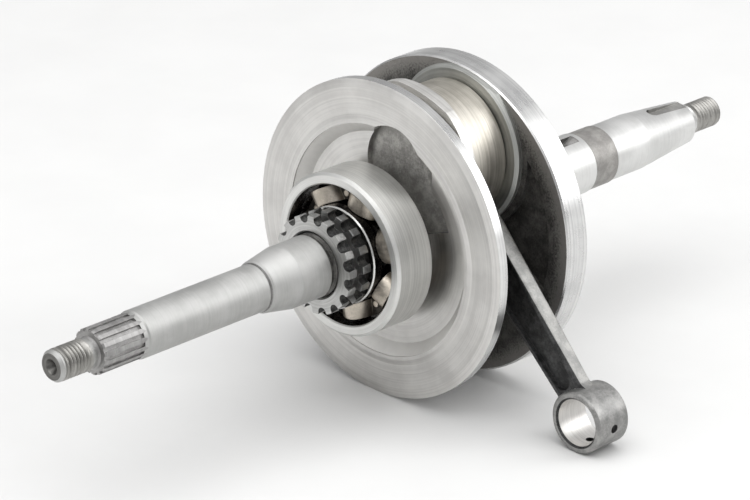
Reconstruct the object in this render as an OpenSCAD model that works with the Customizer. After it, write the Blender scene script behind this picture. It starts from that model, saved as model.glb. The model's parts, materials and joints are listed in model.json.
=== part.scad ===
// Built-up crankshaft of a small single-cylinder four-stroke engine.
// Two crank halves are pressed on a crankpin that carries a one-piece connecting rod on a
// caged needle bearing.  A ball bearing and a double-row chain sprocket sit on the left half.
// X runs along the crank axis, from the splined end (-X) to the tapered end (+X).
// Z points up, and the origin is on the crank axis at the middle of the main ball bearing.
// Stations along X are drawn from the middle of the connecting rod and then moved to the origin.
// At rest both webs and the rod's small end touch one level surface.

/* [Webs] */
// Diameter of the two round webs
web_d = 102; // [98:1:108]
// Distance from the middle of the rod to the outer face of a web
web_out = 20; // [19.5:0.25:21]
// Width of the machined rim of the left web, with its inner chamfer
rim_w = 6.5; // [6:0.25:7]
// Distance from the middle of the rod to the inner face of a web
web_in = 10.6; // [10:0.1:11.5]
// Diameter of the round boss around the crankpin
pin_boss_d = 51; // [48:0.5:53]
// Outer diameter of the raised lip around the turned recess of the left web
recess_d = 80; // [76:0.5:86]
// Depth of the turned recess in the left web
recess_depth = 3.5; // [2:0.25:3.75]

/* [Throw] */
// Distance between the crank axis and the crankpin axis
throw = 26; // [25:0.25:27]
// Turn of the crankpin from straight up, towards the rod's side
crank_angle = 12.3; // [0:0.1:30]
// Diameter of the crankpin
pin_d = 26; // [25:0.5:26]

/* [Connecting rod] */
// Distance between the two bores of the rod
rod_length = 94; // [90:0.5:110]
// Outer diameter of the big end
big_end_d = 43; // [42:0.5:46]
// Width of the big end along its bore
big_end_w = 16; // [15.5:0.1:16.2]
// Diameter of the small-end bore
small_bore_d = 15; // [13:0.5:16]
// Outer diameter of the small end
small_end_d = 19.6; // [19.5:0.1:23]
// Width of the small end along its bore
small_end_w = 13.2; // [12:0.1:15]
// Width of the shank's section along the crank axis
shank_w = 5.6; // [5:0.2:8]

/* [Big-end bearing] */
// Number of needles
needle_count = 14; // [10:1:14]
// Nominal diameter of a needle
needle_d = 4; // [3.5:0.1:4]
// Length of a needle
needle_len = 11.8; // [10:0.2:12]

/* [Main bearing] */
// Bore of the ball bearing
bearing_bore = 20; // [20:1:20]
// Outer diameter of the ball bearing
bearing_od = 52; // [50:0.5:56]
// Width of the ball bearing
bearing_w = 15; // [14:0.5:16]
// Number of balls
ball_count = 7; // [6:1:7]
// Diameter of a ball
ball_d = 9.525; // [9.2:0.025:9.6]

/* [Sprocket] */
// Number of teeth in each row
sprocket_teeth = 16; // [12:1:18]
// Diameter over the tips of the teeth
sprocket_tip_d = 31.2; // [30:0.2:32]
// Width of one row of teeth
tooth_w = 3.2; // [2.6:0.1:3.6]

/* [Left shaft] */
// Diameter of the journal beside the sprocket
journal_d = 19.9; // [19:0.1:19.9]
// Diameter of the long plain shaft
shaft_d = 15; // [14.6:0.1:16]
// Outer diameter of the splines
spline_d = 14.2; // [13.6:0.1:14.4]
// Number of splines
spline_count = 16; // [12:1:18]
// Nominal diameter of both threaded ends
thread_d = 10; // [9:0.5:10]
// Distance from the middle of the rod to the left end
left_end = 152.2; // [148:0.2:156]

/* [Right shaft] */
// Diameter of the cylindrical seat
seat_d = 20; // [19.7:0.1:20]
// Distance from the middle of the rod to the end of the seat
seat_end = 70.3; // [66:0.1:72]
// Small diameter of the taper
taper_small_d = 14.4; // [13.6:0.2:15]
// Distance from the middle of the rod to the small end of the taper
taper_end = 122.2; // [121:0.2:125]
// Distance from the middle of the rod to the right end
right_end = 137.6; // [136:0.2:144]
// Width of the two key slots
key_w = 4; // [3:0.5:4]

/* [Hidden] */

$fn = 128;
eps = 0.01;

// Throw and rod at rest
web_r = web_d / 2;
pin_y = -throw * sin(crank_angle);
pin_z = throw * cos(crank_angle);
rod_angle = acos((pin_z + web_r - small_end_d / 2) / rod_length);

// Web
rim_edge = web_out - rim_w;
rim_chamfer_in = 2.6;
rim_chamfer_r = 3.2;
rim_bevel = 0.7;
rim_bevel_r = 2.6;
rim_step = 0.4;
right_rim_edge = 0.5;
land_r = web_r - 4.5;
land_slope = 3;
recess_floor = web_out - recess_depth;
recess_lip = 0.4;
recess_lip_slope = 1.6;
recess_lip_w = 1.2;
recess_wall = 3.4;
right_recess_depth = 1.2;
right_recess_wall = 1.2;
pin_seat_left = recess_floor - 2.6;
pin_seat_right = web_out - 0.4;
pin_edge = 0.6;

// Boss around the crankpin and hub around the shaft
boss_face = big_end_w / 2 + 0.3;
boss_r = pin_boss_d / 2;
boss_edge = 1;
boss_root = web_in + 2;
boss_trim_r = web_r - 0.6;
pin_collar_r = pin_d / 2 + 4;
pin_collar_face = web_out - 0.2;
hub_r = 14.8;
hub_flare = 0.8;
left_hub_face = web_out + 1.9;
right_hub_face = web_out + 1;

// As-forged pockets of the webs
pocket_r = 13.6;
pocket_floor = recess_floor - 1.6;
pocket_tail_r = 28.4;
pocket_tail_angle = 20.5;
pocket_hub_r = hub_r + 2.4;
inner_pocket_floor = web_in + 2;
inner_pocket_r = land_r - 3.2;
inner_pocket_boss_r = boss_r + 2;
inner_pocket_hub_r = hub_r + 4;
weight_r = 60;
weight_z = -58;

// Main bearing
bearing_back = left_hub_face;
bearing_front = bearing_back + bearing_w;
bearing_mid = (bearing_back + bearing_front) / 2;
ball_pitch_r = (bearing_bore + bearing_od) / 4;
inner_shoulder_r = ball_pitch_r - 2.4;
outer_shoulder_r = ball_pitch_r + 4.4;
race_gap = 0.02;
race_groove_r = ball_d * 0.515;
ring_chamfer = 0.9;
cage_in_r = inner_shoulder_r + 0.3;
cage_out_r = outer_shoulder_r - 1.4;
cage_sheet = 0.8;
cage_pocket_r = ball_d / 2 + 0.2;
rivet_r = 1;
rivet_head = 0.5;
shoulder_edge = 0.4;
first_ball_angle = -35.2;

// Sprocket
sprocket_front = bearing_front + 10.6;
second_row_front = bearing_front + 4.7;
sprocket_hub_r = sprocket_tip_d / 2 - 3.6;
sprocket_root_r = sprocket_tip_d / 2 - 2.25;
sprocket_bore_chamfer = 0.9;
tooth_pitch_r = sprocket_tip_d / 2 - 0.6;
tooth_gap_r = tooth_pitch_r - sprocket_root_r;
tooth_gap_h = 3;
tooth_gap_flare = 1.6;
first_tooth_angle = -5;

// Left shaft stations, as distances from the middle of the rod
shoulder_gap = 0.8;
relief_w = 1.3;
step = 0.5;
cone_large = 61;
cone_small = 71.1;
cone_small_r = shaft_d / 2 + 0.7;
shaft_start = 71.9;
spline_in = 120.9;
spline_start = 122.4;
spline_stop = 137.6;
spline_depth = 0.75;
spline_gap_w = 0.5 * 3.1416 * spline_d / spline_count;
undercut_stop = 140.4;
undercut_r = thread_d / 2 - 0.6;
tip_groove = left_end - 1.6;
tip_groove_w = 0.5;
tip_groove_depth = 0.45;
tip_r = thread_d / 2 - 0.1;
thread_chamfer = 0.9;
centre_hole_r = 2.4;
centre_hole_depth = 4;

// Right shaft stations
band_end = 80.6;
band_r = seat_d / 2 - 0.3;
taper_land_r = seat_d / 2 - 0.6;
taper_start = 97;
taper_edge = 0.8;
shoulder_chamfer = 0.4;
thread_relief_r = thread_d / 2 - 0.7;
thread_relief_stop = taper_end + 2;
key_cutter_r = 8;
key_depth = 2.5;
key_angle = 10;
taper_key_at = 103.8;
taper_key_floor = 6.5;
taper_key_round = 0.15;
seat_key_at = 62.4;

// Connecting rod
big_bore_r = pin_d / 2 + needle_d;
big_end_r = big_end_d / 2;
small_end_r = small_end_d / 2;
rod_edge = 0.5;
bore_edge = 0.6;
shank_half_big = 8.6;
shank_half_small = 5.3;
shank_fillet = 11;
corner_sink = 0.3;
corner_inset = 1.2;
flange_t = 1.5;
shank_web_t = 2.2;
shank_pocket_start = big_end_r + 3.2;
shank_pocket_stop = rod_length - small_end_r - 0.8;
shank_pocket_big = shank_half_big - flange_t;
shank_pocket_small = shank_half_small - flange_t;
shank_pocket_square = 0.6;
shank_round_gap = 0.25;
oil_hole_r = 1.4;
oil_hole_angle = 41.5;

// Big-end bearing
needle_pitch_r = (pin_d / 2 + big_bore_r) / 2;
needle_gap = 0.03;
needle_r = needle_d / 2 - needle_gap;
cage_wall = 1.3;
cage_len = big_end_w - 1.2;
needle_slot_gap = 0.12;
needle_end_gap = 0.15;
needle_edge = 0.3;

// Move from the middle of the connecting rod to the origin.
module in_frame() {
  translate([bearing_mid, 0, 0]) children();
}

// Round bar along X between two stations.
module bar(x0, x1, r) {
  translate([x0, 0, 0]) rotate([0, 90, 0]) cylinder(r = r, h = x1 - x0);
}

// Solid of revolution about X.  Points are [station, radius].
module turned(points) {
  rotate([0, 90, 0]) rotate_extrude() polygon([for (p = points) [p[1], p[0]]]);
}

// Mirror a left-hand feature to the right-hand side when side is 1.
module on_side(side) {
  scale([side, 1, 1]) children();
}

// Move to the crankpin axis.
module at_pin() {
  translate([0, pin_y, pin_z]) children();
}

// Move to the rod frame: the big end at the origin and the small end along -Z.
module in_rod() {
  at_pin() rotate([-rod_angle, 0, 0]) children();
}

// Turned disc of the left web with its outer side at +X: rim, land, and thicker middle.
module left_web_disc() {
  turned([
    [web_in, 0],
    [web_in, land_r - land_slope],
    [rim_edge - rim_step, land_r],
    [rim_edge, land_r + rim_step],
    [rim_edge, web_r - rim_chamfer_r],
    [rim_edge + rim_chamfer_in, web_r],
    [web_out - rim_bevel, web_r],
    [web_out, web_r - rim_bevel_r],
    [web_out, 0]
  ]);
}

// Turned disc of the right web, whose rim is as wide as the web.
module right_web_disc() {
  turned([
    [web_in, 0],
    [web_in, web_r - right_rim_edge],
    [web_in + right_rim_edge, web_r],
    [web_out - rim_bevel, web_r],
    [web_out, web_r - rim_bevel_r],
    [web_out, 0]
  ]);
}

// Round boss that holds the crankpin, with a chamfered edge.
module pin_boss() {
  at_pin() intersection() {
    turned([
      [boss_face, 0],
      [boss_face, boss_r - boss_edge],
      [boss_face + boss_edge, boss_r],
      [boss_root, boss_r],
      [boss_root, 0]
    ]);
    translate([0, -pin_y, -pin_z]) bar(0, web_out, boss_trim_r);
  }
}

// As-forged hollow beside the boss on the inner side of a web.
module inner_pocket() {
  difference() {
    bar(web_in - 1, inner_pocket_floor, inner_pocket_r);
    at_pin() bar(0, web_out, inner_pocket_boss_r);
    translate([0, 0, weight_z]) bar(0, web_out, weight_r);
    bar(0, web_out, inner_pocket_hub_r);
  }
}

// As-forged pocket in the outer side of the left web: a round head over the crankpin and a
// tail that runs around the bearing towards the rod's side.
module outer_pocket() {
  difference() {
    union() {
      at_pin() bar(pocket_floor, web_out + 1, pocket_r);
      intersection() {
        bar(pocket_floor, web_out + 1, pocket_tail_r);
        rotate([-pocket_tail_angle, 0, 0]) translate([0, -web_r, 0]) cube([web_d, web_r, web_r]);
        translate([0, -web_r, 0]) cube([web_d, web_r, web_r]);
      }
    }
    bar(0, web_d, pocket_hub_r);
  }
}

// Turned recess of the left web.
module left_recess() {
  r = recess_d / 2;
  lip_in = r - recess_lip_slope - recess_lip_w;
  turned([
    [recess_floor, 0],
    [recess_floor, lip_in - recess_wall],
    [web_out, lip_in],
    [web_out + recess_lip, lip_in],
    [web_out + recess_lip, 0]
  ]);
}

// Raised lip around the recess of the left web.
module recess_ring() {
  r = recess_d / 2;
  turned([
    [web_out - 1, 0],
    [web_out - 1, r],
    [web_out, r],
    [web_out + recess_lip, r - recess_lip_slope],
    [web_out + recess_lip, 0]
  ]);
}

// Slot left by a disc-shaped key cutter in the top of a shaft of radius r.
module key_slot(x, r, side_angle) {
  rotate([side_angle, 0, 0])
    translate([x, -key_w / 2, r - key_depth + key_cutter_r])
      rotate([-90, 0, 0]) cylinder(r = key_cutter_r, h = key_w);
}

// Straight key slot in the taper: round at its deep end and running out at the small end.
module taper_key_slot() {
  end_r = key_w / 2 - taper_key_round;
  rotate([key_angle, 0, 0]) translate([taper_key_at, 0, taper_key_floor]) {
    translate([end_r, 0, 0]) cylinder(r = end_r, h = seat_d);
    translate([end_r, -key_w / 2, 0]) cube([right_end, key_w, seat_d]);
  }
}

// Cone of a centre drill with its mouth at station x, opening towards +X.
module centre_hole(x) {
  turned([
    [x - centre_hole_depth, 0],
    [x, centre_hole_r],
    [x + 1, centre_hole_r],
    [x + 1, 0]
  ]);
}

// Straight-sided gaps between the splines.
module spline_gaps() {
  for (i = [0:spline_count - 1])
    rotate([i * 360 / spline_count, 0, 0])
      translate([spline_start, -spline_gap_w / 2, spline_d / 2 - spline_depth])
        cube([spline_stop - spline_start + 1, spline_gap_w, 2 * spline_depth]);
}

// Turned profile of the left shaft, drawn towards +X and mirrored by its user.
module left_shaft() {
  jr = journal_d / 2;
  br = bearing_bore / 2;
  sr = shaft_d / 2;
  pr = spline_d / 2;
  tr = thread_d / 2;
  turned([
    [recess_floor - 1, 0],
    [recess_floor - 1, hub_r + hub_flare],
    [recess_floor, hub_r + hub_flare],
    [recess_floor + hub_flare, hub_r],
    [left_hub_face, hub_r],
    [left_hub_face, br],
    [sprocket_front - shoulder_gap / 2, br],
    [sprocket_front, jr - shoulder_gap],
    [sprocket_front + relief_w, jr - shoulder_gap],
    [sprocket_front + relief_w + step, jr],
    [cone_large, jr],
    [cone_small, cone_small_r],
    [cone_small + step, cone_small_r - step],
    [shaft_start, sr - step / 2],
    [shaft_start + step, sr],
    [spline_in - step, sr],
    [spline_in, pr],
    [spline_stop - step, pr],
    [spline_stop, pr - step],
    [spline_stop, undercut_r + step],
    [spline_stop + step, undercut_r],
    [undercut_stop - step, undercut_r],
    [undercut_stop, tr],
    [tip_groove - tip_groove_w, tr],
    [tip_groove - tip_groove_w / 2, tr - tip_groove_depth],
    [tip_groove, tr - tip_groove_depth],
    [tip_groove + tip_groove_w / 2, tip_r],
    [left_end - thread_chamfer, tip_r],
    [left_end, tr - thread_chamfer],
    [left_end, 0]
  ]);
}

// Left crank half: web, hub and the long drive shaft in one forging.
module left_crank_half() {
  color([0.70, 0.69, 0.67]) in_frame() on_side(-1) difference() {
    union() {
      difference() {
        union() {
          left_web_disc();
          recess_ring();
        }
        left_recess();
      }
      pin_boss();
      left_shaft();
    }
    outer_pocket();
    inner_pocket();
    at_pin() bar(0, pin_seat_left, pin_d / 2);
    spline_gaps();
    centre_hole(left_end);
  }
}

// Turned profile of the right shaft.
module right_shaft() {
  sr = seat_d / 2;
  tr = thread_d / 2;
  ts = taper_small_d / 2;
  turned([
    [boss_root, 0],
    [boss_root, hub_r],
    [right_hub_face, hub_r],
    [right_hub_face, sr],
    [seat_end - shoulder_chamfer, sr],
    [seat_end, band_r],
    [band_end, band_r],
    [band_end + shoulder_chamfer, taper_land_r],
    [taper_start, taper_land_r],
    [taper_end - taper_edge, ts],
    [taper_end, ts - taper_edge],
    [taper_end, thread_relief_r],
    [thread_relief_stop, thread_relief_r],
    [thread_relief_stop + tr - thread_relief_r, tr],
    [right_end - thread_chamfer, tr],
    [right_end, tr - thread_chamfer],
    [right_end, 0]
  ]);
}

// Right crank half: web, crankpin boss, bearing seat, taper and threaded end in one forging.
module right_crank_half() {
  color([0.74, 0.73, 0.71]) in_frame() difference() {
    union() {
      difference() {
        right_web_disc();
        turned([
          [web_out - right_recess_depth, 0],
          [web_out - right_recess_depth, recess_d / 2 - right_recess_wall],
          [web_out, recess_d / 2],
          [web_out + 1, recess_d / 2],
          [web_out + 1, 0]
        ]);
      }
      pin_boss();
      at_pin() bar(web_in, pin_collar_face, pin_collar_r);
      right_shaft();
    }
    inner_pocket();
    at_pin() bar(0, web_out + 1, pin_d / 2);
    taper_key_slot();
    key_slot(seat_key_at, seat_d / 2, key_angle);
    centre_hole(right_end);
  }
}

// Crankpin, pressed into both webs.
module crankpin() {
  pr = pin_d / 2;
  color([0.80, 0.79, 0.77]) in_frame() at_pin() turned([
    [-pin_seat_left, 0],
    [-pin_seat_left, pr - pin_edge],
    [-pin_seat_left + pin_edge, pr],
    [pin_seat_right - pin_edge, pr],
    [pin_seat_right, pr - pin_edge],
    [pin_seat_right, 0]
  ]);
}

// Rounded corner between a ring of radius ring_r and a straight side at half width half_w.
// Its curve starts a little inside the ring.
module corner(ring_r, half_w) {
  start_r = ring_r - corner_sink;
  far = sqrt(pow(start_r + shank_fillet, 2) - pow(half_w + shank_fillet, 2));
  touch = start_r / (start_r + shank_fillet);
  difference() {
    rotate([0, 90, 0]) translate([0, 0, -shank_w / 2]) linear_extrude(shank_w)
      polygon([[0, 0], [far, 0], [far, half_w], [touch * far, touch * (half_w + shank_fillet)]]);
    translate([0, half_w + shank_fillet, -far]) bar(-shank_w, shank_w, shank_fillet);
  }
}

// Both corners of one end, drawn with the shank along -Z.
module corners(ring_r, half_w) {
  corner(ring_r, half_w);
  mirror([0, 1, 0]) corner(ring_r, half_w);
}

// Flat outline between two half widths, cut square, along -Z.
module strip(z0, z1, half0, half1, x0, x1) {
  translate([x0, 0, 0]) rotate([0, 90, 0]) linear_extrude(x1 - x0)
    polygon([[z0, -half0], [z1, -half1], [z1, half1], [z0, half0]]);
}

// Hollow in one side of the I-section, with round ends.
module shank_pocket() {
  x0 = shank_web_t / 2;
  r0 = shank_pocket_big - shank_round_gap;
  r1 = shank_pocket_small - shank_round_gap;
  z0 = shank_pocket_start + shank_pocket_square * shank_pocket_big;
  z1 = shank_pocket_stop - shank_pocket_square * shank_pocket_small;
  strip(z0, z1, shank_pocket_big, shank_pocket_small, x0, big_end_w);
  translate([0, 0, -shank_pocket_start - r0]) bar(x0, big_end_w, r0);
  translate([0, 0, -shank_pocket_stop + r1]) bar(x0, big_end_w, r1);
}

// Connecting rod: two rings joined by an I-section shank.
module connecting_rod() {
  bw = big_end_w / 2;
  sw = small_end_w / 2;
  color([0.62, 0.61, 0.59]) in_frame() in_rod() difference() {
    union() {
      turned([
        [-bw, 0],
        [-bw, big_end_r - rod_edge],
        [-bw + rod_edge, big_end_r],
        [bw - rod_edge, big_end_r],
        [bw, big_end_r - rod_edge],
        [bw, 0]
      ]);
      translate([0, 0, -rod_length]) turned([
        [-sw, 0],
        [-sw, small_end_r - rod_edge],
        [-sw + rod_edge, small_end_r],
        [sw - rod_edge, small_end_r],
        [sw, small_end_r - rod_edge],
        [sw, 0]
      ]);
      strip(0, rod_length, shank_half_big, shank_half_small, -shank_w / 2, shank_w / 2);
      corners(big_end_r, shank_half_big - corner_inset);
      translate([0, 0, -rod_length]) rotate([180, 0, 0]) corners(small_end_r, shank_half_small);
    }
    shank_pocket();
    mirror([1, 0, 0]) shank_pocket();
    bar(-big_end_w, big_end_w, big_bore_r);
    translate([0, 0, -rod_length]) {
      bar(-small_end_w, small_end_w, small_bore_d / 2);
      for (side = [-1, 1])
        on_side(side) turned([
          [sw - bore_edge, 0],
          [sw - bore_edge, small_bore_d / 2],
          [sw + eps, small_bore_d / 2 + bore_edge + eps],
          [sw + 1, small_bore_d / 2 + bore_edge],
          [sw + 1, 0]
        ]);
      for (side = [-1, 1])
        rotate([180 + side * oil_hole_angle, 0, 0]) cylinder(r = oil_hole_r, h = small_end_d);
    }
  }
}

// Outer part of the gap between two teeth, opening outwards.
module tooth_mouth(x0, x1) {
  inner = tooth_gap_r;
  outer = tooth_gap_r + tooth_gap_flare;
  translate([x0, 0, 0]) rotate([0, 90, 0]) linear_extrude(x1 - x0)
    polygon([[0, -inner], [-tooth_gap_h, -outer], [-tooth_gap_h, outer], [0, inner]]);
}

// Toothed disc from station x0 to x1.
module tooth_row(x0, x1) {
  difference() {
    bar(x0, x1, sprocket_tip_d / 2);
    for (i = [0:sprocket_teeth - 1])
      rotate([first_tooth_angle + (i + 0.5) * 360 / sprocket_teeth, 0, 0]) translate([0, 0, tooth_pitch_r]) {
        bar(x0 - 1, x1 + 1, tooth_gap_r);
        tooth_mouth(x0 - 1, x1 + 1);
      }
  }
}

// Chain sprocket with two rows of teeth on one hub.
module timing_sprocket() {
  br = bearing_bore / 2;
  color([0.60, 0.59, 0.57]) in_frame() on_side(-1) difference() {
    union() {
      tooth_row(sprocket_front - tooth_w, sprocket_front);
      tooth_row(second_row_front - tooth_w, second_row_front);
      bar(bearing_front, sprocket_front, sprocket_hub_r);
    }
    bar(0, left_end, br);
    turned([
      [sprocket_front - sprocket_bore_chamfer, 0],
      [sprocket_front - sprocket_bore_chamfer, br],
      [sprocket_front + eps, br + sprocket_bore_chamfer + eps],
      [sprocket_front + 1, br + sprocket_bore_chamfer],
      [sprocket_front + 1, 0]
    ]);
  }
}

// Groove for the balls, cut in either ring.
module raceway() {
  rotate([0, 90, 0]) rotate_extrude() translate([ball_pitch_r, -bearing_mid]) circle(r = race_groove_r);
}

// Square-cut ring of the ball bearing with chamfered corners.
module bearing_ring(r_in, r_out, in_edge, out_edge) {
  turned([
    [-bearing_front, r_in + in_edge],
    [-bearing_front, r_out - out_edge],
    [-bearing_front + out_edge, r_out],
    [-bearing_back - out_edge, r_out],
    [-bearing_back, r_out - out_edge],
    [-bearing_back, r_in + in_edge],
    [-bearing_back - in_edge, r_in],
    [-bearing_front + in_edge, r_in]
  ]);
}

// Inner ring, pressed on the left crank half.
module bearing_inner_ring() {
  color([0.66, 0.65, 0.64]) in_frame() difference() {
    bearing_ring(bearing_bore / 2, inner_shoulder_r, ring_chamfer, shoulder_edge);
    raceway();
  }
}

// Outer ring, free to turn around the crank axis.
module bearing_outer_ring() {
  color([0.72, 0.71, 0.69]) in_frame() difference() {
    bearing_ring(outer_shoulder_r, bearing_od / 2, shoulder_edge, ring_chamfer);
    raceway();
  }
}

// Place children at ball number i, or between two balls for a half number.
module at_ball(i) {
  rotate([first_ball_angle + (i - 1) * 360 / ball_count, 0, 0])
    translate([-bearing_mid, 0, ball_pitch_r]) children();
}

// One ball.
module bearing_ball(i) {
  color([0.78, 0.76, 0.73]) in_frame() at_ball(i) sphere(d = ball_d - 2 * race_gap);
}

// Riveted sheet cage: a flat ring with a rounded pocket on both sides of each ball and a rivet
// between each two.
module bearing_cage() {
  sheet_r = cage_pocket_r + cage_sheet;
  rivet_x = cage_sheet + rivet_head;
  color([0.70, 0.66, 0.60]) in_frame() difference() {
    intersection() {
      translate([-bearing_mid, 0, 0]) bar(-ball_d, ball_d, cage_out_r);
      union() {
        translate([-bearing_mid, 0, 0]) bar(-cage_sheet, cage_sheet, cage_out_r + 1);
        for (i = [1:ball_count]) at_ball(i) cylinder(r = sheet_r, h = ball_d, center = true);
        for (i = [1:ball_count]) at_ball(i + 0.5) bar(-rivet_x, rivet_x, rivet_r);
      }
    }
    for (i = [1:ball_count]) at_ball(i) cylinder(r = cage_pocket_r, h = 2 * ball_d, center = true);
    translate([-bearing_mid, 0, 0]) bar(-2 * ball_d, 2 * ball_d, cage_in_r);
  }
}

// Place children at needle number i.
module at_needle(i) {
  at_pin() rotate([(i - 0.5) * 360 / needle_count, 0, 0]) translate([0, 0, needle_pitch_r]) children();
}

// One needle with chamfered ends.
module big_end_needle(i) {
  color([0.75, 0.74, 0.72]) in_frame() at_needle(i) turned([
    [-needle_len / 2, 0],
    [-needle_len / 2, needle_r - needle_edge],
    [-needle_len / 2 + needle_edge, needle_r],
    [needle_len / 2 - needle_edge, needle_r],
    [needle_len / 2, needle_r - needle_edge],
    [needle_len / 2, 0]
  ]);
}

// Needle cage: a thin sleeve with one slot for each needle.
module big_end_cage() {
  slot_w = 2 * needle_r + 2 * needle_slot_gap;
  slot_l = needle_len + 2 * needle_end_gap;
  color([0.72, 0.62, 0.38]) in_frame() difference() {
    at_pin() difference() {
      bar(-cage_len / 2, cage_len / 2, needle_pitch_r + cage_wall);
      bar(-cage_len, cage_len, needle_pitch_r - cage_wall);
    }
    for (i = [1:needle_count])
      at_needle(i) translate([-slot_l / 2, -slot_w / 2, -needle_d]) cube([slot_l, slot_w, 2 * needle_d]);
  }
}

left_crank_half();
right_crank_half();
crankpin();
timing_sprocket();
bearing_inner_ring();
bearing_outer_ring();
bearing_cage();
for (i = [1:ball_count]) bearing_ball(i);
connecting_rod();
big_end_cage();
for (i = [1:needle_count]) big_end_needle(i);
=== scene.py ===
import json
import math

import bmesh
import bpy
from mathutils import Matrix, Vector


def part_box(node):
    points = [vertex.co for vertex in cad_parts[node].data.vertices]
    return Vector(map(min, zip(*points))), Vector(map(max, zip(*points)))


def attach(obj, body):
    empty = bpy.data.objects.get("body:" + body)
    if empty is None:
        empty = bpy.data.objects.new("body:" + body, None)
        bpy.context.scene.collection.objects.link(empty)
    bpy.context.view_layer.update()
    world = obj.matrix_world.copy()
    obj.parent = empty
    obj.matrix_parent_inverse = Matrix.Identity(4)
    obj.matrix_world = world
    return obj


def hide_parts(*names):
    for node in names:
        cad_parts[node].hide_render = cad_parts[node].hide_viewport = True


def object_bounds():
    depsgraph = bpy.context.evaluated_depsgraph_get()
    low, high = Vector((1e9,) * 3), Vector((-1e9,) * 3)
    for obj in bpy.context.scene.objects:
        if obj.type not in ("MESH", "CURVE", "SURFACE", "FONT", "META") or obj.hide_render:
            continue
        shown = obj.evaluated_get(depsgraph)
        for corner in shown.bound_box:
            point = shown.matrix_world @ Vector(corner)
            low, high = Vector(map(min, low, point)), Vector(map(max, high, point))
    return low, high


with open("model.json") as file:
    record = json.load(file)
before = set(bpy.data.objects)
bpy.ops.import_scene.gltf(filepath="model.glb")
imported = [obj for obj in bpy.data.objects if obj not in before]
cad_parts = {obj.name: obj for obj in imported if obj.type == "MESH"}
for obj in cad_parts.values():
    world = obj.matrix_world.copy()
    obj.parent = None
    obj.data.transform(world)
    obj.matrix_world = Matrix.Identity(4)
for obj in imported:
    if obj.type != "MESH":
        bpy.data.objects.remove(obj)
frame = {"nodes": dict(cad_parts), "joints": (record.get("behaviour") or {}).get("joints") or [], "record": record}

# Looks of a built-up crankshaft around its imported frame: cut threads, a drafted rod, metal finishes,
# light and camera. Metres throughout, with lengths written in millimetres as number * MM. X is the
# crank axis and the origin is at the middle of the main bearing.

cad_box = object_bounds()
scene = bpy.context.scene
nodes = frame["nodes"]
mounts = {m["name"]: m for m in frame["record"]["mounts"]}
joints = {j["name"]: j for j in frame["joints"]}

MM = 0.001
PIN = Vector(joints["rod_swing"]["pos_m"])
SMALL_END = Vector(mounts["small_end_bore"]["pos_m"])
ROD_AXIS = (SMALL_END - PIN).normalized()
ROD_SIDE = Vector((0, -ROD_AXIS.z, ROD_AXIS.y))
ROD_LENGTH = (SMALL_END - PIN).length
ROD_MID = PIN.x
FLOOR_Z = cad_box[0].z

# How far a face may lie from a station or radius and still belong to it, and how close points are one
NEAR = 0.1 * MM
SAME_POINT = 1e-7

# Webs: stations are distances from the middle of the rod, and radii are from the crank axis
WEB_R = cad_box[1].z
RECESS_FLOOR = 16.5 * MM
RIM_EDGE = 13.5 * MM
RIM_DEPTH = 0.45 * MM
RIM_CHAMFER_STOP = 16.15 * MM
LAND_R = 46.7 * MM
RECESS_SLOPE = (32.0 * MM, 38.0 * MM)
WEB_IN = 10.6 * MM
BOSS_FACE = 8.3 * MM
BOSS_R = 25.5 * MM
HUB_R = 14.8 * MM
WEB_HOLLOW_R = 12.0 * MM
LEFT_HUB = 21.9 * MM
RIGHT_HUB = 21.0 * MM

# Shafts, in the same way. A pair is where a stretch starts and stops
CENTRE_HOLE_R = 2.6 * MM
CENTRE_HOLE_DEPTH = 4.5 * MM
JOURNAL_GROOVE = (47.05 * MM, 48.85 * MM)
CONE_LINE = (71.6 * MM, 72.4 * MM)
SPLINES = (122.0 * MM, 138.2 * MM)
SPLINE_R = 7.1 * MM
SEAT_R = 10.0 * MM
SEAT_KEY = (55.0 * MM, 69.5 * MM)
ROUGH_BAND = (70.0 * MM, 81.4 * MM)
TAPER_START = 97.0 * MM
TAPER_R = 9.4 * MM
TAPER_SLOPE = 2.2 / 24.4
TAPER_KEY = (103.0 * MM, 121.3 * MM)
# Between these stations the painted shade at the deep end of the taper's key slot fades out
TAPER_KEY_SHADE = (105.4 * MM, 107.2 * MM)
THREAD_R = mounts["left_thread"]["dims"]["r_mm"] * MM
THREAD_ROOT_R = THREAD_R - 0.62 * MM
THREAD_PITCH = 1.25 * MM

# Bearing and sprocket: stations are distances from the middle of the bearing
RING_HALF = 7.0 * MM
OUTER_TRACK = 24.0 * MM
INNER_TRACK = 11.5 * MM
CAGE_SHEET = 0.8 * MM
CAGE_POCKET_R = 4.96 * MM
CROWN_R = 15.3 * MM
SPROCKET_BORE_R = 10.5 * MM

# Rod. An outline is two pairs of distance from the big end and half width, joined by a straight line
BIG_END_R = 21.5 * MM
SMALL_END_R = 9.8 * MM
SMALL_BORE_R = mounts["small_end_bore"]["dims"]["r_mm"] * MM
SMALL_CHAMFER_R = 8.1 * MM
OIL_HOLE_R = 1.4 * MM
SHANK_HALF = 2.8 * MM
SHANK_DRAFT = 0.8 * MM
SHANK_OUTLINE = ((0.0, 8.6 * MM), (ROD_LENGTH, 5.3 * MM))
POCKET_OUTLINE = ((28.96 * MM, 7.1 * MM), (81.12 * MM, 3.8 * MM))


# ---------------------------------------------------------------- shader helpers


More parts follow.
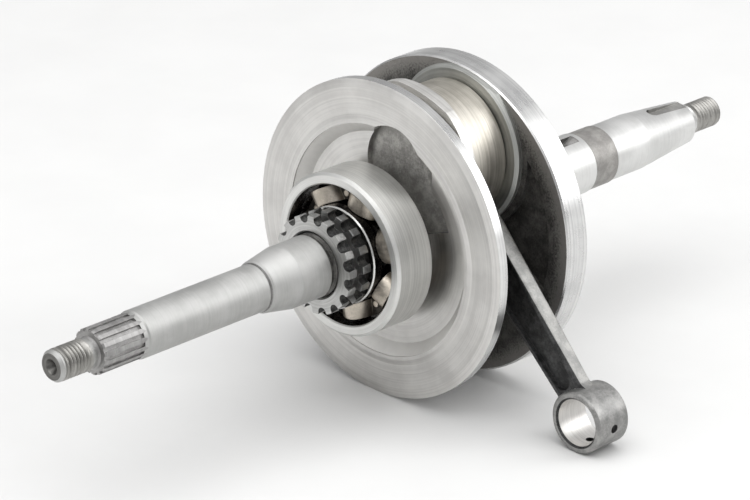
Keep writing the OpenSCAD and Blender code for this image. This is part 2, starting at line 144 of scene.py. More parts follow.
class Shader:
    """A material with short names for the nodes that these metals share."""

    def __init__(self, name):
        self.material = bpy.data.materials.new(name)
        self.material.use_nodes = True
        self.tree = self.material.node_tree
        self.tree.nodes.clear()
        self.out = self.node("ShaderNodeOutputMaterial")
        self.bsdf = self.node("ShaderNodeBsdfPrincipled")
        self.link(self.bsdf.outputs[0], self.out.inputs["Surface"])
        self.place = self.node("ShaderNodeTexCoord").outputs["Object"]

    def node(self, kind):
        return self.tree.nodes.new(kind)

    def link(self, a, b):
        self.tree.links.new(a, b)

    def feed(self, socket, value):
        if isinstance(value, bpy.types.NodeSocket):
            self.link(value, socket)
        else:
            socket.default_value = value

    def math(self, kind, a, b=0.0):
        n = self.node("ShaderNodeMath")
        n.operation = kind
        self.feed(n.inputs[0], a)
        self.feed(n.inputs[1], b)
        return n.outputs[0]

    def shifted(self, centre):
        n = self.node("ShaderNodeVectorMath")
        n.operation = "SUBTRACT"
        self.link(self.place, n.inputs[0])
        n.inputs[1].default_value = centre
        return n.outputs[0]

    def split(self, vector):
        n = self.node("ShaderNodeSeparateXYZ")
        self.link(vector, n.inputs[0])
        return n.outputs[0], n.outputs[1], n.outputs[2]

    def joined(self, x, y, z):
        n = self.node("ShaderNodeCombineXYZ")
        for socket, value in zip(n.inputs, (x, y, z)):
            self.feed(socket, value)
        return n.outputs[0]

    def from_axis(self, y, z):
        """Distance from the axis along X that y and z are measured from."""
        squares = self.math("ADD", self.math("MULTIPLY", y, y), self.math("MULTIPLY", z, z))
        return self.math("SQRT", squares)

    def radius(self):
        """Distance from the crank axis, in millimetres."""
        _, y, z = self.split(self.place)
        return self.math("MULTIPLY", self.from_axis(y, z), 1 / MM)

    def noise(self, vector, scale, detail=2.0, rough=0.55):
        n = self.node("ShaderNodeTexNoise")
        self.link(vector, n.inputs["Vector"])
        n.inputs["Scale"].default_value = scale
        n.inputs["Detail"].default_value = detail
        n.inputs["Roughness"].default_value = rough
        return n.outputs["Fac"]

    def spots(self, vector, scale):
        n = self.node("ShaderNodeTexVoronoi")
        self.link(vector, n.inputs["Vector"])
        n.inputs["Scale"].default_value = scale
        return n.outputs["Distance"]

    def between(self, value, low, high, to_low=0.0, to_high=1.0):
        """Smooth step from to_low, where value is low, to to_high, where it is high."""
        n = self.node("ShaderNodeMapRange")
        n.interpolation_type = "SMOOTHSTEP"
        self.link(value, n.inputs["Value"])
        n.inputs["From Min"].default_value = low
        n.inputs["From Max"].default_value = high
        n.inputs["To Min"].default_value = to_low
        n.inputs["To Max"].default_value = to_high
        return n.outputs["Result"]

    def mix(self, factor, a, b):
        n = self.node("ShaderNodeMix")
        n.data_type = "RGBA"
        self.feed(n.inputs[0], factor)
        self.feed(n.inputs[6], a)
        self.feed(n.inputs[7], b)
        return n.outputs[2]

    def shade(self, factor, dark, light):
        return self.mix(factor, (*dark, 1), (*light, 1))

    def blend(self, a, b, share):
        """Sum of two values, of which a has the given share."""
        return self.math("ADD", self.math("MULTIPLY", a, share), self.math("MULTIPLY", b, 1.0 - share))

    def bump(self, height, depth, normal=None):
        n = self.node("ShaderNodeBump")
        n.inputs["Strength"].default_value = 1.0
        n.inputs["Distance"].default_value = depth
        self.link(height, n.inputs["Height"])
        if normal is not None:
            self.link(normal, n.inputs["Normal"])
        return n.outputs["Normal"]

    def soft_edges(self, size):
        n = self.node("ShaderNodeBevel")
        n.samples = 4
        n.inputs["Radius"].default_value = size
        return n.outputs["Normal"]

    def ring_tangent(self, centre):
        """Direction of the lathe's cut: around the axis along X through centre, in world space."""
        _, y, z = self.split(self.shifted(centre))
        around = self.joined(0.0, self.math("MULTIPLY", z, -1.0), y)
        n = self.node("ShaderNodeVectorTransform")
        n.vector_type = "VECTOR"
        n.convert_from = "OBJECT"
        n.convert_to = "WORLD"
        self.link(around, n.inputs[0])
        u = self.node("ShaderNodeVectorMath")
        u.operation = "NORMALIZE"
        self.link(n.outputs[0], u.inputs[0])
        return u.outputs[0]

    def lathe(self, centre, fine):
        """Coordinates whose first number runs across the cut and whose others run slowly around it.

        fine is how many steps the first one makes in a millimetre."""
        around = 0.35
        never_zero = 0.01 * MM
        x, y, z = self.split(self.shifted(centre))
        r = self.from_axis(y, z)
        across = self.math("MULTIPLY", self.math("ADD", x, r), fine / MM)
        safe = self.math("ADD", r, never_zero)
        side = self.math("MULTIPLY", self.math("DIVIDE", y, safe), around)
        high = self.math("MULTIPLY", self.math("DIVIDE", z, safe), around)
        return self.joined(across, side, high)

    def millimetres(self):
        n = self.node("ShaderNodeVectorMath")
        n.operation = "SCALE"
        self.link(self.place, n.inputs[0])
        n.inputs["Scale"].default_value = 1 / MM
        return n.outputs[0]

    def set(self, **values):
        names = {"color": "Base Color", "metal": "Metallic", "rough": "Roughness", "normal": "Normal"}
        names.update({"aniso": "Anisotropic", "tangent": "Tangent", "specular": "Specular IOR Level"})
        for key, value in values.items():
            self.feed(self.bsdf.inputs[names[key]], value)
        return self.material


def turned_metal(
    name, dark, light, rough, aniso, centre=(0, 0, 0), line=1.0, depth=0.004, edge=0.15, streak=0.55
):
    """Lathe-turned or ground steel: rings around an axis, faint stains and softened edges.

    line is the fineness of the rings, depth their height and edge the edges' radius, both in
    millimetres, and streak is the rings' share in the tone, against the stains'."""
    s = Shader(name)
    cut = s.lathe(centre, line)
    rings = s.noise(cut, 1.6, detail=4.0, rough=0.65)
    broad = s.noise(cut, 0.28, detail=2.0)
    stain = s.noise(s.millimetres(), 0.07, detail=4.0, rough=0.6)
    tone = s.between(s.blend(rings, stain, streak), 0.36, 0.64)
    color = s.shade(tone, dark, light)
    wear = s.between(stain, 0.35, 0.7, rough - 0.025, rough + 0.05)
    roughness = s.math("ADD", wear, s.math("MULTIPLY", s.math("SUBTRACT", broad, 0.5), 0.10))
    normal = s.bump(rings, depth * MM, s.soft_edges(edge * MM))
    return s.set(color=color, metal=1.0, rough=roughness, normal=normal, aniso=aniso, tangent=s.ring_tangent(centre))


RUBBED_BAND = (44.5, 49.5)
RUBBED_RAGGED = 9.0
RUBBED = (0.27, 0.26, 0.245, 1)
# Near-black painted shade for the deep end of a key slot
SLOT_END_SHADE = (0.05, 0.048, 0.045, 1)


def forged_metal(name, dark, light, rough=0.5, metal=0.75, rim_band=False, deep_end=None, grain=0.12):
    """As-forged steel under thin scale: lumpy, speckled and dark, lighter where it was rubbed.

    grain is a third of the lumps' height in millimetres. rim_band rubs the web bright near its rim.
    deep_end gives a slot's two stations, in millimetres along X, between which the painted shade at its deep end fades
    out."""
    s = Shader(name)
    mm = s.millimetres()
    lumps = s.noise(mm, 0.22, detail=5.0, rough=0.6)
    fine = s.noise(mm, 1.5, detail=3.0, rough=0.65)
    pits = s.between(s.spots(mm, 0.75), 0.05, 0.35)
    tone = s.between(s.blend(lumps, fine, 0.6), 0.38, 0.66)
    color = s.shade(tone, dark, light)
    if rim_band:
        r = s.math("ADD", s.radius(), s.math("MULTIPLY", s.math("SUBTRACT", fine, 0.5), RUBBED_RAGGED))
        color = s.mix(s.between(r, *RUBBED_BAND), color, RUBBED)
    # Painted shade: the slot's deep end is darkened
    if deep_end:
        x, _, _ = s.split(mm)
        color = s.mix(s.between(x, *deep_end), SLOT_END_SHADE, color)
    height = s.math("ADD", s.blend(fine, lumps, 0.35), s.math("MULTIPLY", pits, 0.18))
    normal = s.bump(height, grain * MM * 3.0, s.soft_edges(0.4 * MM))
    roughness = s.between(fine, 0.3, 0.7, rough - 0.08, rough + 0.14)
    return s.set(color=color, metal=metal, rough=roughness, normal=normal)


PIN_AXIS = tuple(PIN)
BORE_AXIS = tuple(SMALL_END)

face_steel = turned_metal(
    "turned_face", (0.56, 0.55, 0.535), (0.71, 0.70, 0.68), 0.37, 0.30, line=1.0, depth=0.003, streak=0.45
)
rim_steel = turned_metal("ground_rim", (0.54, 0.54, 0.54), (0.76, 0.76, 0.75), 0.28, 0.4, line=0.9, depth=0.002)
rim_side_steel = turned_metal("rim_side", (0.56, 0.55, 0.53), (0.74, 0.73, 0.71), 0.42, 0.2, line=0.9)
# A lighter copy of the turned face: painted light for the bright crescent that the recess slope catches
lit_slope_steel = turned_metal("recess_slope_painted_light", (0.74, 0.73, 0.71), (0.88, 0.87, 0.85), 0.50, 0.1, line=1.0, depth=0.002)
shaft_steel = turned_metal(
    "ground_shaft", (0.62, 0.62, 0.61), (0.74, 0.74, 0.73), 0.44, 0.12, line=1.2, depth=0.0012, streak=0.25
)
satin_steel = turned_metal(
    "satin_shaft", (0.43, 0.43, 0.42), (0.53, 0.53, 0.52), 0.54, 0.05, line=1.2, depth=0.0012, streak=0.25
)
spline_steel = turned_metal("cut_spline", (0.29, 0.285, 0.28), (0.42, 0.415, 0.41), 0.46, 0.0, line=0.6)
gap_steel = forged_metal("spline_gap", (0.24, 0.235, 0.23), (0.42, 0.415, 0.41), rough=0.44, metal=0.95, grain=0.01)
thread_steel = turned_metal("rolled_thread", (0.26, 0.255, 0.24), (0.46, 0.45, 0.43), 0.44, 0.0, line=0.5, edge=0.05)
tip_steel = turned_metal("faced_tip", (0.12, 0.118, 0.112), (0.24, 0.235, 0.225), 0.46, 0.0, line=1.0, edge=0.1)
# The seat's key slot is painted dark as shade inside it
slot_shade_steel = forged_metal("milled_slot_shade", (0.12, 0.12, 0.115), (0.28, 0.275, 0.27), rough=0.42, metal=0.9, grain=0.015)
# The taper's key slot: its floor is painted mid-grey and its deep end near-black, as shade inside the slot
keyway_shade_steel = forged_metal(
    "milled_keyway_shade", (0.30, 0.295, 0.285), (0.46, 0.455, 0.44),
    rough=0.44, metal=0.9, deep_end=[(ROD_MID + out) / MM for out in TAPER_KEY_SHADE], grain=0.01,
)
# A painted line of shade along the step at the cone's end
step_line_shade_steel = forged_metal("step_line_shade", (0.16, 0.16, 0.155), (0.30, 0.295, 0.29), rough=0.42, metal=0.9, grain=0.01)
band_steel = forged_metal("unground_band", (0.27, 0.26, 0.25), (0.42, 0.41, 0.39), rough=0.48, metal=0.85, grain=0.03)
boss_steel = turned_metal("faced_boss", (0.34, 0.345, 0.33), (0.48, 0.485, 0.465), 0.46, 0.2, centre=PIN_AXIS, line=0.9)
forged_web = forged_metal("forged_web", (0.055, 0.053, 0.050), (0.17, 0.165, 0.155), rim_band=True)
forged_pocket = forged_metal("forged_pocket", (0.27, 0.264, 0.25), (0.50, 0.49, 0.465), rough=0.5, grain=0.06)
rod_dark = forged_metal("forged_rod", (0.030, 0.030, 0.030), (0.095, 0.095, 0.095), rough=0.46, grain=0.06)
rod_flange = forged_metal("rod_flange", (0.23, 0.23, 0.225), (0.39, 0.385, 0.37), rough=0.44, metal=0.9, grain=0.03)
small_end_steel = forged_metal(
    "small_end", (0.23, 0.23, 0.225), (0.40, 0.395, 0.385), rough=0.42, metal=0.9, grain=0.025
)
big_end_steel = turned_metal(
    "ground_big_end", (0.42, 0.395, 0.345), (0.68, 0.65, 0.59), 0.42, 0.2, centre=PIN_AXIS,
    line=0.8, depth=0.0015, streak=0.6,
)
bore_steel = turned_metal("honed_bore", (0.58, 0.565, 0.545), (0.76, 0.75, 0.73), 0.42, 0.2, centre=BORE_AXIS, line=1.2)
ring_steel = turned_metal("bearing_ring", (0.60, 0.60, 0.585), (0.76, 0.76, 0.74), 0.42, 0.3, line=1.4, depth=0.002)
inner_ring_steel = turned_metal("inner_ring", (0.55, 0.55, 0.53), (0.78, 0.78, 0.76), 0.2, 0.3, line=1.4, depth=0.002)
pin_steel = turned_metal("crankpin", (0.45, 0.45, 0.44), (0.70, 0.70, 0.69), 0.18, 0.3, centre=PIN_AXIS, line=1.2)
sprocket_front_steel = turned_metal("sprocket_face", (0.42, 0.42, 0.41), (0.62, 0.62, 0.61), 0.40, 0.2, line=1.0)
sprocket_side_steel = forged_metal(
    "sprocket_side", (0.035, 0.035, 0.035), (0.14, 0.14, 0.135), rough=0.40, metal=0.85, grain=0.02
)
sprocket_crown_steel = forged_metal(
    "sprocket_crown", (0.24, 0.24, 0.235), (0.46, 0.46, 0.45), rough=0.36, metal=0.9, grain=0.02
)
cage_dome = forged_metal("cage_dome", (0.44, 0.40, 0.34), (0.68, 0.62, 0.54), rough=0.36, metal=0.95, grain=0.010)
# Near-black painted shade, with some grease, for the cage's sheet deep between the balls
cage_sheet_grease_and_shade = forged_metal("cage_sheet_grease_and_shade", (0.020, 0.018, 0.016), (0.070, 0.064, 0.056), rough=0.35, metal=0.8, grain=0.02)
# Near-black for the rings' tracks: painted shade deep in the bearing, with some grease
track_grease_and_shade = forged_metal(
    "track_grease_and_shade", (0.012, 0.011, 0.010), (0.045, 0.042, 0.038), rough=0.22, metal=0.8, grain=0.01
)
# Near-black painted shade for the groove by the sprocket and for the pocket's upward walls
groove_shade_steel = forged_metal("groove_shade", (0.08, 0.078, 0.074), (0.20, 0.195, 0.185), rough=0.4, metal=0.8, grain=0.02)
copper = turned_metal("cage_copper", (0.48, 0.34, 0.16), (0.80, 0.62, 0.36), 0.3, 0.2, centre=PIN_AXIS, line=0.8)


def ball_material():
    s = Shader("polished_ball")
    haze = s.noise(s.millimetres(), 0.35, detail=3.0)
    scratch = s.noise(s.millimetres(), 6.0, detail=2.0)
    color = s.shade(s.between(haze, 0.35, 0.65), (0.72, 0.58, 0.46), (0.86, 0.80, 0.74))
    normal = s.bump(scratch, 0.0006 * MM)
    return s.set(color=color, metal=1.0, rough=s.between(haze, 0.3, 0.7, 0.06, 0.14), normal=normal)


ball_steel = ball_material()


# ---------------------------------------------------------------- geometry helpers


def paint(obj, materials, choose):
    """Gives each face the material whose name choose(face) returns."""
    mesh = obj.data
    mesh.materials.clear()
    names = list(materials)
    for name in names:
        mesh.materials.append(materials[name])
    for face in mesh.polygons:
        face.material_index = names.index(choose(face))


def paint_whole(obj, material):
    paint(obj, {"whole": material}, lambda face: "whole")


def thread_cutter(name, start, stop):
    """A long V-shaped coil around the crank axis: what a threading tool takes away.

    Its depth runs in and out over half a turn, and it stands clear of the blank by crest_gap."""
    crest_gap = 0.25 * MM
    half_w = (THREAD_PITCH / 2 + 0.02 * MM) * 0.92
    outer_r = THREAD_R + crest_gap
    steps_per_turn = 40
    fade_steps = steps_per_turn / 2
    never_flat = 0.98
    mesh = bpy.data.meshes.new(name)
    bm = bmesh.new()
    turns = (stop - start) / THREAD_PITCH
    count = int(turns * steps_per_turn)
    rows = []
    for i in range(count + 1):
        angle = 2 * math.pi * i / steps_per_turn
        x = start + THREAD_PITCH * i / steps_per_turn
        fade = min(1.0, i / fade_steps, (count - i) / fade_steps)
        tip = THREAD_ROOT_R + (outer_r - THREAD_ROOT_R) * (1 - fade) * never_flat
        ring = []
        for dx, r in ((-half_w, outer_r), (0.0, tip), (half_w, outer_r)):
            ring.append(bm.verts.new((x + dx, r * math.sin(angle), r * math.cos(angle))))
        rows.append(ring)
    for a, b in zip(rows, rows[1:]):
        for k in range(3):
            m = (k + 1) % 3
            bm.faces.new((a[k], a[m], b[m], b[k]))
    bm.faces.new(rows[0])
    bm.faces.new(rows[-1])
    bmesh.ops.recalc_face_normals(bm, faces=bm.faces)
    bm.to_mesh(mesh)
    bm.free()
    obj = bpy.data.objects.new(name, mesh)
    scene.collection.objects.link(obj)
    return obj


def finished_copy(node, name, cutters=()):
    """A welded copy of a CAD node with the cutters taken away."""
    mesh = nodes[node].data.copy()
    obj = bpy.data.objects.new(name, mesh)
    scene.collection.objects.link(obj)
    bm = bmesh.new()
    bm.from_mesh(mesh)
    bmesh.ops.remove_doubles(bm, verts=bm.verts, dist=SAME_POINT)
    bm.to_mesh(mesh)
    bm.free()
    for cutter in cutters:
        cut = obj.modifiers.new("cut", "BOOLEAN")
        cut.operation = "DIFFERENCE"
        cut.solver = "EXACT"
        cut.object = cutter
    bpy.context.view_layer.update()
    done = bpy.data.meshes.new_from_object(obj.evaluated_get(bpy.context.evaluated_depsgraph_get()))
    obj.modifiers.clear()
    obj.data = done
    done.name = name
    for cutter in cutters:
        bpy.data.objects.remove(cutter)
    return obj


def keep_normals(obj, source):
    """Gives each corner the CAD node's own normal wherever the node has a corner there that faces the same way.

    Elsewhere it is smoothed over edges below smooth_angle, and set flat if that tilts it too far."""
    smooth_angle = math.radians(28)
    same_way = 0.94
    tilted = 0.8
    grid = 0.002 * MM

    def key(p):
        return tuple(round(v / grid) for v in p)

    known = {}
    base = source.data
    for face in base.polygons:
        for i in face.loop_indices:
            place = key(base.vertices[base.loops[i].vertex_index].co)
            known.setdefault(place, []).append((face.normal.copy(), base.corner_normals[i].vector.copy()))
    mesh = obj.data
    for face in mesh.polygons:
        face.use_smooth = True
    mesh.set_sharp_from_angle(angle=smooth_angle)
    normals = [n.vector.copy() for n in mesh.corner_normals]
    for face in mesh.polygons:
        for i in face.loop_indices:
            there = known.get(key(mesh.vertices[mesh.loops[i].vertex_index].co), [])
            best = max(there, key=lambda pair: pair[0].dot(face.normal), default=None)
            if best and best[0].dot(face.normal) > same_way:
                normals[i] = best[1]
            elif normals[i].dot(face.normal) < tilted:
                normals[i] = face.normal.copy()
    mesh.normals_split_custom_set([tuple(n) for n in normals])


def radial(p, centre=(0, 0, 0)):
    return math.hypot(p.y - centre[1], p.z - centre[2])


# ---------------------------------------------------------------- crank halves

left_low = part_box("left_crank_half")[0].x
right_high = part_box("right_crank_half")[1].x


def thread_span(mount):
    """Where a thread starts and stops along X."""
    middle = mounts[mount]["pos_m"][0]
    half_len = mounts[mount]["dims"]["length_mm"] * MM / 2
    return middle - half_len, middle + half_len


left_start, left_stop = thread_span("left_thread")
right_start, right_stop = thread_span("right_thread")

# The left cutter stays between the undercut and the tip's groove, and the right one runs out of the tip
left_cutter = thread_cutter("left_cutter", left_start + 0.3 * MM, left_stop - 0.6 * MM)
right_cutter = thread_cutter("right_cutter", right_start + 0.9 * MM, right_stop + 1.2 * MM)


def within(value, span):
    return span[0] < value < span[1]


def on_thread_wall(face):
    return THREAD_ROOT_R - NEAR / 2 < radial(face.center) < THREAD_R + NEAR / 2


def is_left_thread(face):
    return left_start - 0.3 * MM < face.center.x < left_stop + 0.3 * MM and on_thread_wall(face)


def is_right_thread(face):
    in_reach = right_start - NEAR < face.center.x < right_high + NEAR / 10
    return in_reach and on_thread_wall(face) and abs(face.normal.x) < 0.999


def in_key_slot(out, r):
    """True below the surface of the seat or of the taper, where only a key slot goes."""
    below = 0.12 * MM
    taper_here = TAPER_R - (out - TAPER_START) * TAPER_SLOPE
    in_seat = within(out, SEAT_KEY) and r < SEAT_R - below
    return in_seat or (within(out, TAPER_KEY) and r < taper_here - below)


def crank_face(face, side, is_thread):
    """The finish of one face of a crank half. side is -1 on the splined side.

    The tests run from the shaft's tip and the rim inwards, and the first one that fits names the finish."""
    c, n = face.center, face.normal
    out = side * (c.x - ROD_MID)
    r, r_pin = radial(c), radial(c, PIN)
    facing_out = side * n.x
    end = side * ((left_low if side < 0 else right_high) - ROD_MID)
    if out > end - NEAR / 2 or (r < CENTRE_HOLE_R and out > end - CENTRE_HOLE_DEPTH):
        return "tip"
    if is_thread(face):
        return "thread"
    if r > WEB_R - RIM_DEPTH and out > WEB_IN:
        return "rim"
    if side < 0 and out < RIM_CHAMFER_STOP and r > LAND_R:
        return "rim_side"
    on_boss_side = r_pin < BOSS_R + NEAR and facing_out > -0.99
    if out < RIM_EDGE + NEAR and r > WEB_HOLLOW_R:
        if out < BOSS_FACE + 2 * NEAR or on_boss_side:
            return "rim_side" if side < 0 else "boss"
        return "forged"
    if side < 0 and out < RECESS_FLOOR - NEAR / 2 and r > HUB_R:
        # The walls that face up take the groove paint, a painted shade that damps the light they catch
        return "groove" if n.z > 0.5 else "pocket"
    # The recess slope takes the lighter, painted-light copy of the turned steel
    if side < 0 and within(r, RECESS_SLOPE) and 0.3 < facing_out < 0.95:
        return "slope"
    if out < (LEFT_HUB if side < 0 else RIGHT_HUB) + NEAR / 2 and r > SEAT_R + NEAR:
        return "face"
    # The groove by the sprocket is painted dark as shade
    if side < 0 and within(out, JOURNAL_GROOVE):
        return "groove"
    # The step at the cone's end is painted as a dark line of shade
    if side < 0 and within(out, CONE_LINE):
        return "line"
    # Both key slots are painted darker than the shaft, as shade inside them
    if side > 0 and in_key_slot(out, r):
        return "slot" if out < TAPER_START else "keyway"
    if side > 0 and within(out, ROUGH_BAND):
        return "band"
    if side < 0 and within(out, SPLINES):
        return "gap" if r < SPLINE_R - NEAR and facing_out < 0.5 else "spline"
    return "satin" if side < 0 else "shaft"


crank_materials = {
    "face": face_steel,
    "rim": rim_steel,
    "forged": forged_web,
    "pocket": forged_pocket,
    "boss": boss_steel,
    "shaft": shaft_steel,
    "spline": spline_steel,
    "thread": thread_steel,
    "band": band_steel,
    "groove": groove_shade_steel,
    "line": step_line_shade_steel,
    "rim_side": rim_side_steel,
    "slope": lit_slope_steel,
    "satin": satin_steel,
    "slot": slot_shade_steel,
    "keyway": keyway_shade_steel,
    "gap": gap_steel,
    "tip": tip_steel,
}

for node, name, cutter, is_thread, side in (
    ("left_crank_half", "left_half_threaded", left_cutter, is_left_thread, -1),
    ("right_crank_half", "right_half_threaded", right_cutter, is_right_thread, 1),
):
    half = finished_copy(node, name, [cutter])
    keep_normals(half, nodes[node])
    paint(half, crank_materials, lambda face: crank_face(face, side, is_thread))
    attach(half, "crank")
    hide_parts(node)


# ---------------------------------------------------------------- connecting rod


def rod_face(face):
    """The finish of one face of the connecting rod."""
    c, n = face.center, face.normal
    x = abs(c.x - ROD_MID)
    r_small = radial(c, SMALL_END)
    if radial(c, PIN) < BIG_END_R + NEAR:
        return "big"
    if r_small < SMALL_BORE_R + NEAR:
        return "bore"
    if r_small < SMALL_END_R + NEAR:
        away = Vector((0, c.y - SMALL_END.y, c.z - SMALL_END.z)).normalized()
        # The oil hole's walls take the near-black paint as shade inside the hole; the bore's chamfer takes it too
        in_oil_hole = x < OIL_HOLE_R + NEAR and abs(n.dot(away)) < 0.5
        on_chamfer = r_small < SMALL_CHAMFER_R + NEAR and abs(n.x) < 0.95
        return "dark" if in_oil_hole or on_chamfer else "small"
    across = (c - PIN).dot(ROD_SIDE)
    outward = n.dot(ROD_SIDE) * math.copysign(1, across)
    return "flange" if outward > 0.5 and x < SHANK_HALF else "dark"


def half_width(outline, along):
    """Half width of a tapered outline at a distance from the big end."""
    (a, wide), (b, narrow) = outline
    return wide + (narrow - wide) * (along - a) / (b - a)


def draft_shank(rod):
    """Draws the outer edges of the shank in towards the parting line, as a forging die leaves them."""
    near = 0.02 * MM
    (a, wide), (b, narrow) = POCKET_OUTLINE
    slope = (wide - narrow) / (b - a)
    bm = bmesh.new()
    bm.from_mesh(rod.data)
    for side in (-1, 1):
        bmesh.ops.bisect_plane(
            bm,
            geom=bm.verts[:] + bm.edges[:] + bm.faces[:],
            dist=SAME_POINT,
            plane_co=PIN + ROD_AXIS * a + ROD_SIDE * side * wide,
            plane_no=ROD_SIDE * side + ROD_AXIS * slope,
        )
    for v in bm.verts:
        x = v.co.x - ROD_MID
        on_ends = radial(v.co, PIN) < BIG_END_R - near or radial(v.co, SMALL_END) < SMALL_END_R - near
        if on_ends or abs(abs(x) - SHANK_HALF) > near:
            continue
        along = (v.co - PIN).dot(ROD_AXIS)
        across = abs((v.co - PIN).dot(ROD_SIDE))
        inner = half_width(POCKET_OUTLINE, along)
        outer = half_width(SHANK_OUTLINE, along)
        share = min(1.0, max(0.0, (across - inner) / (outer - inner)))
        v.co.x = ROD_MID + math.copysign(SHANK_HALF - SHANK_DRAFT * share, x)
    bm.to_mesh(rod.data)
    bm.free()


drafted_rod = finished_copy("connecting_rod", "forged_connecting_rod")
draft_shank(drafted_rod)
keep_normals(drafted_rod, nodes["connecting_rod"])
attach(drafted_rod, "rod")
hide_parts("connecting_rod")
paint(
    drafted_rod,
    {
        "big": big_end_steel,
        "bore": bore_steel,
        "small": small_end_steel,
        "dark": rod_dark,
        "flange": rod_flange,
    },
    rod_face,
)


# ---------------------------------------------------------------- finishes of the CAD nodes


def sprocket_face(face):
    """Grey end faces and tooth tips, dark gaps and hub."""
    r = radial(face.center)
    if face.normal.x < -0.6 and r > SPROCKET_BORE_R:
        return "front"
    return "crown" if r > CROWN_R and abs(face.normal.x) < 0.3 else "side"


paint(
    nodes["timing_sprocket"],
    {"front": sprocket_front_steel, "side": sprocket_side_steel, "crown": sprocket_crown_steel},
    sprocket_face,
)


def outer_ring_face(face):
    """Near-black inside the outer ring, a painted shade with some grease; ground elsewhere."""
    c = face.center
    return "track" if abs(c.x) < RING_HALF and radial(c) < OUTER_TRACK else "ground"


paint(nodes["bearing_outer_ring"], {"ground": ring_steel, "track": track_grease_and_shade}, outer_ring_face)


def inner_ring_face(face):
    """The inner ring's track is painted near-black as shade with some grease; only its front and back edges stay
    bright.
    """
    c = face.center
    in_track = abs(c.x) < RING_HALF and radial(c) > INNER_TRACK
    return "track" if in_track and abs(face.normal.x) < 0.9 else "ground"


paint(nodes["bearing_inner_ring"], {"ground": inner_ring_steel, "track": track_grease_and_shade}, inner_ring_face)

ball_centres = [sum(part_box(n), Vector()) / 2 for n in nodes if n.startswith("bearing_ball_")]


def cage_face(face):
    """Tan on the raised pockets and rivet heads; near-black, a painted shade with some grease, on the sheet between
    them and inside the pockets.
    """
    c = face.center
    ball = min(ball_centres, key=lambda b: (b - c).length)
    outward = Vector((0, ball.y, ball.z)).normalized()
    offset = c - ball
    from_axis = (offset - outward * offset.dot(outward)).length
    inside = from_axis < CAGE_POCKET_R + NEAR and abs(face.normal.dot(outward)) < 0.5
    return "flat" if inside or abs(c.x) < CAGE_SHEET + NEAR / 2 else "dome"


paint(nodes["bearing_cage"], {"dome": cage_dome, "flat": cage_sheet_grease_and_shade}, cage_face)
paint_whole(nodes["crankpin"], pin_steel)
paint_whole(nodes["big_end_cage"], copper)
for node, obj in nodes.items():
    if node.startswith("bearing_ball_"):
        paint_whole(obj, ball_steel)
    if node.startswith("big_end_needle_"):
        paint_whole(obj, pin_steel)


# ---------------------------------------------------------------- floor, light and camera


FLOOR_HALF = 4.0

# The sky brightens evenly from the horizon to the point overhead
HORIZON_GREY = 0.42
OVERHEAD_GREY = 1.0
SKY_STRENGTH = 0.85

# The photograph's camera: where it looks from, how it is rolled, and its lens in millimetres
AZIMUTH = math.radians(-45.893)
ELEVATION = math.radians(23.734)
ROLL = math.radians(1.167)
DISTANCE = 1.26764
TARGET = Vector((0.01681, 0.00791, -0.00803))
FOCAL_LENGTH = 196.779
SENSOR_WIDTH = 36.0


def floor_material():
    s = Shader("pale_floor")
    grain = s.noise(s.millimetres(), 0.02, detail=4.0)
    color = s.shade(s.between(grain, 0.3, 0.7), (0.69, 0.69, 0.685), (0.71, 0.71, 0.705))
    return s.set(color=color, metal=0.0, rough=0.9, specular=0.0)


corners = [(FLOOR_HALF * x, FLOOR_HALF * y, FLOOR_Z) for x, y in ((-1, -1), (1, -1), (1, 1), (-1, 1))]
floor_mesh = bpy.data.meshes.new("floor")
floor_mesh.from_pydata(corners, [], [(0, 1, 2, 3)])
floor_mesh.materials.append(floor_material())
floor = bpy.data.objects.new("floor", floor_mesh)
scene.collection.objects.link(floor)

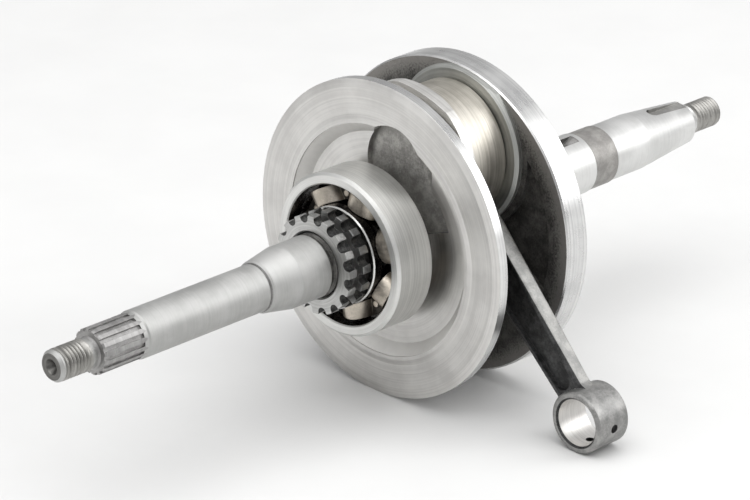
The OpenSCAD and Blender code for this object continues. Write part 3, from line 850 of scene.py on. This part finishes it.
world = bpy.data.worlds.new("studio")
scene.world = world
world.use_nodes = True
tree = world.node_tree
tree.nodes.clear()
direction = tree.nodes.new("ShaderNodeTexCoord")
height = tree.nodes.new("ShaderNodeSeparateXYZ")
tree.links.new(direction.outputs["Generated"], height.inputs[0])
ramp = tree.nodes.new("ShaderNodeValToRGB")
tree.links.new(height.outputs["Z"], ramp.inputs[0])
for element, grey in zip(ramp.color_ramp.elements, (HORIZON_GREY, OVERHEAD_GREY)):
    element.color = (grey, grey, grey * 1.005, 1)
glow = tree.nodes.new("ShaderNodeBackground")
tree.links.new(ramp.outputs[0], glow.inputs["Color"])
glow.inputs["Strength"].default_value = SKY_STRENGTH
world_out = tree.nodes.new("ShaderNodeOutputWorld")
tree.links.new(glow.outputs[0], world_out.inputs["Surface"])


def area_light(name, place, aim, width, depth, power):
    """Adds a rectangular soft light. Sizes are in metres and power in watts."""
    lamp = bpy.data.lights.new(name, "AREA")
    lamp.shape = "RECTANGLE"
    lamp.size = width
    lamp.size_y = depth
    lamp.energy = power
    obj = bpy.data.objects.new(name, lamp)
    obj.location = place
    obj.rotation_euler = (Vector(aim) - Vector(place)).to_track_quat("-Z", "Y").to_euler()
    scene.collection.objects.link(obj)


area_light("key_overhead", (-0.15, -0.20, 1.30), (0, 0, 0), 1.7, 1.4, 16.0)
area_light("key_right", (0.85, -0.77, 0.59), (0.02, 0, 0), 0.6, 0.85, 5.0)
area_light("fill_left", (-1.2, 0.5, 0.50), (0, 0, 0), 0.9, 0.8, 3.0)

back = Vector((
    math.sin(AZIMUTH) * math.cos(ELEVATION),
    -math.cos(AZIMUTH) * math.cos(ELEVATION),
    math.sin(ELEVATION),
))
right = Vector((0, 0, 1)).cross(back).normalized()
up = back.cross(right)
right_turned = right * math.cos(ROLL) + up * math.sin(ROLL)
up_turned = up * math.cos(ROLL) - right * math.sin(ROLL)
lens = bpy.data.cameras.new("camera")
lens.sensor_width = SENSOR_WIDTH
lens.lens = FOCAL_LENGTH
lens.clip_start = 0.01
lens.clip_end = 50.0
camera = bpy.data.objects.new("camera", lens)
camera.matrix_world = Matrix((
    (right_turned.x, up_turned.x, back.x, 0),
    (right_turned.y, up_turned.y, back.y, 0),
    (right_turned.z, up_turned.z, back.z, 0),
    (0, 0, 0, 1),
))
camera.location = TARGET + back * DISTANCE
scene.collection.objects.link(camera)
scene.camera = camera
scene.view_settings.view_transform = "Standard"
scene.view_settings.look = "None"
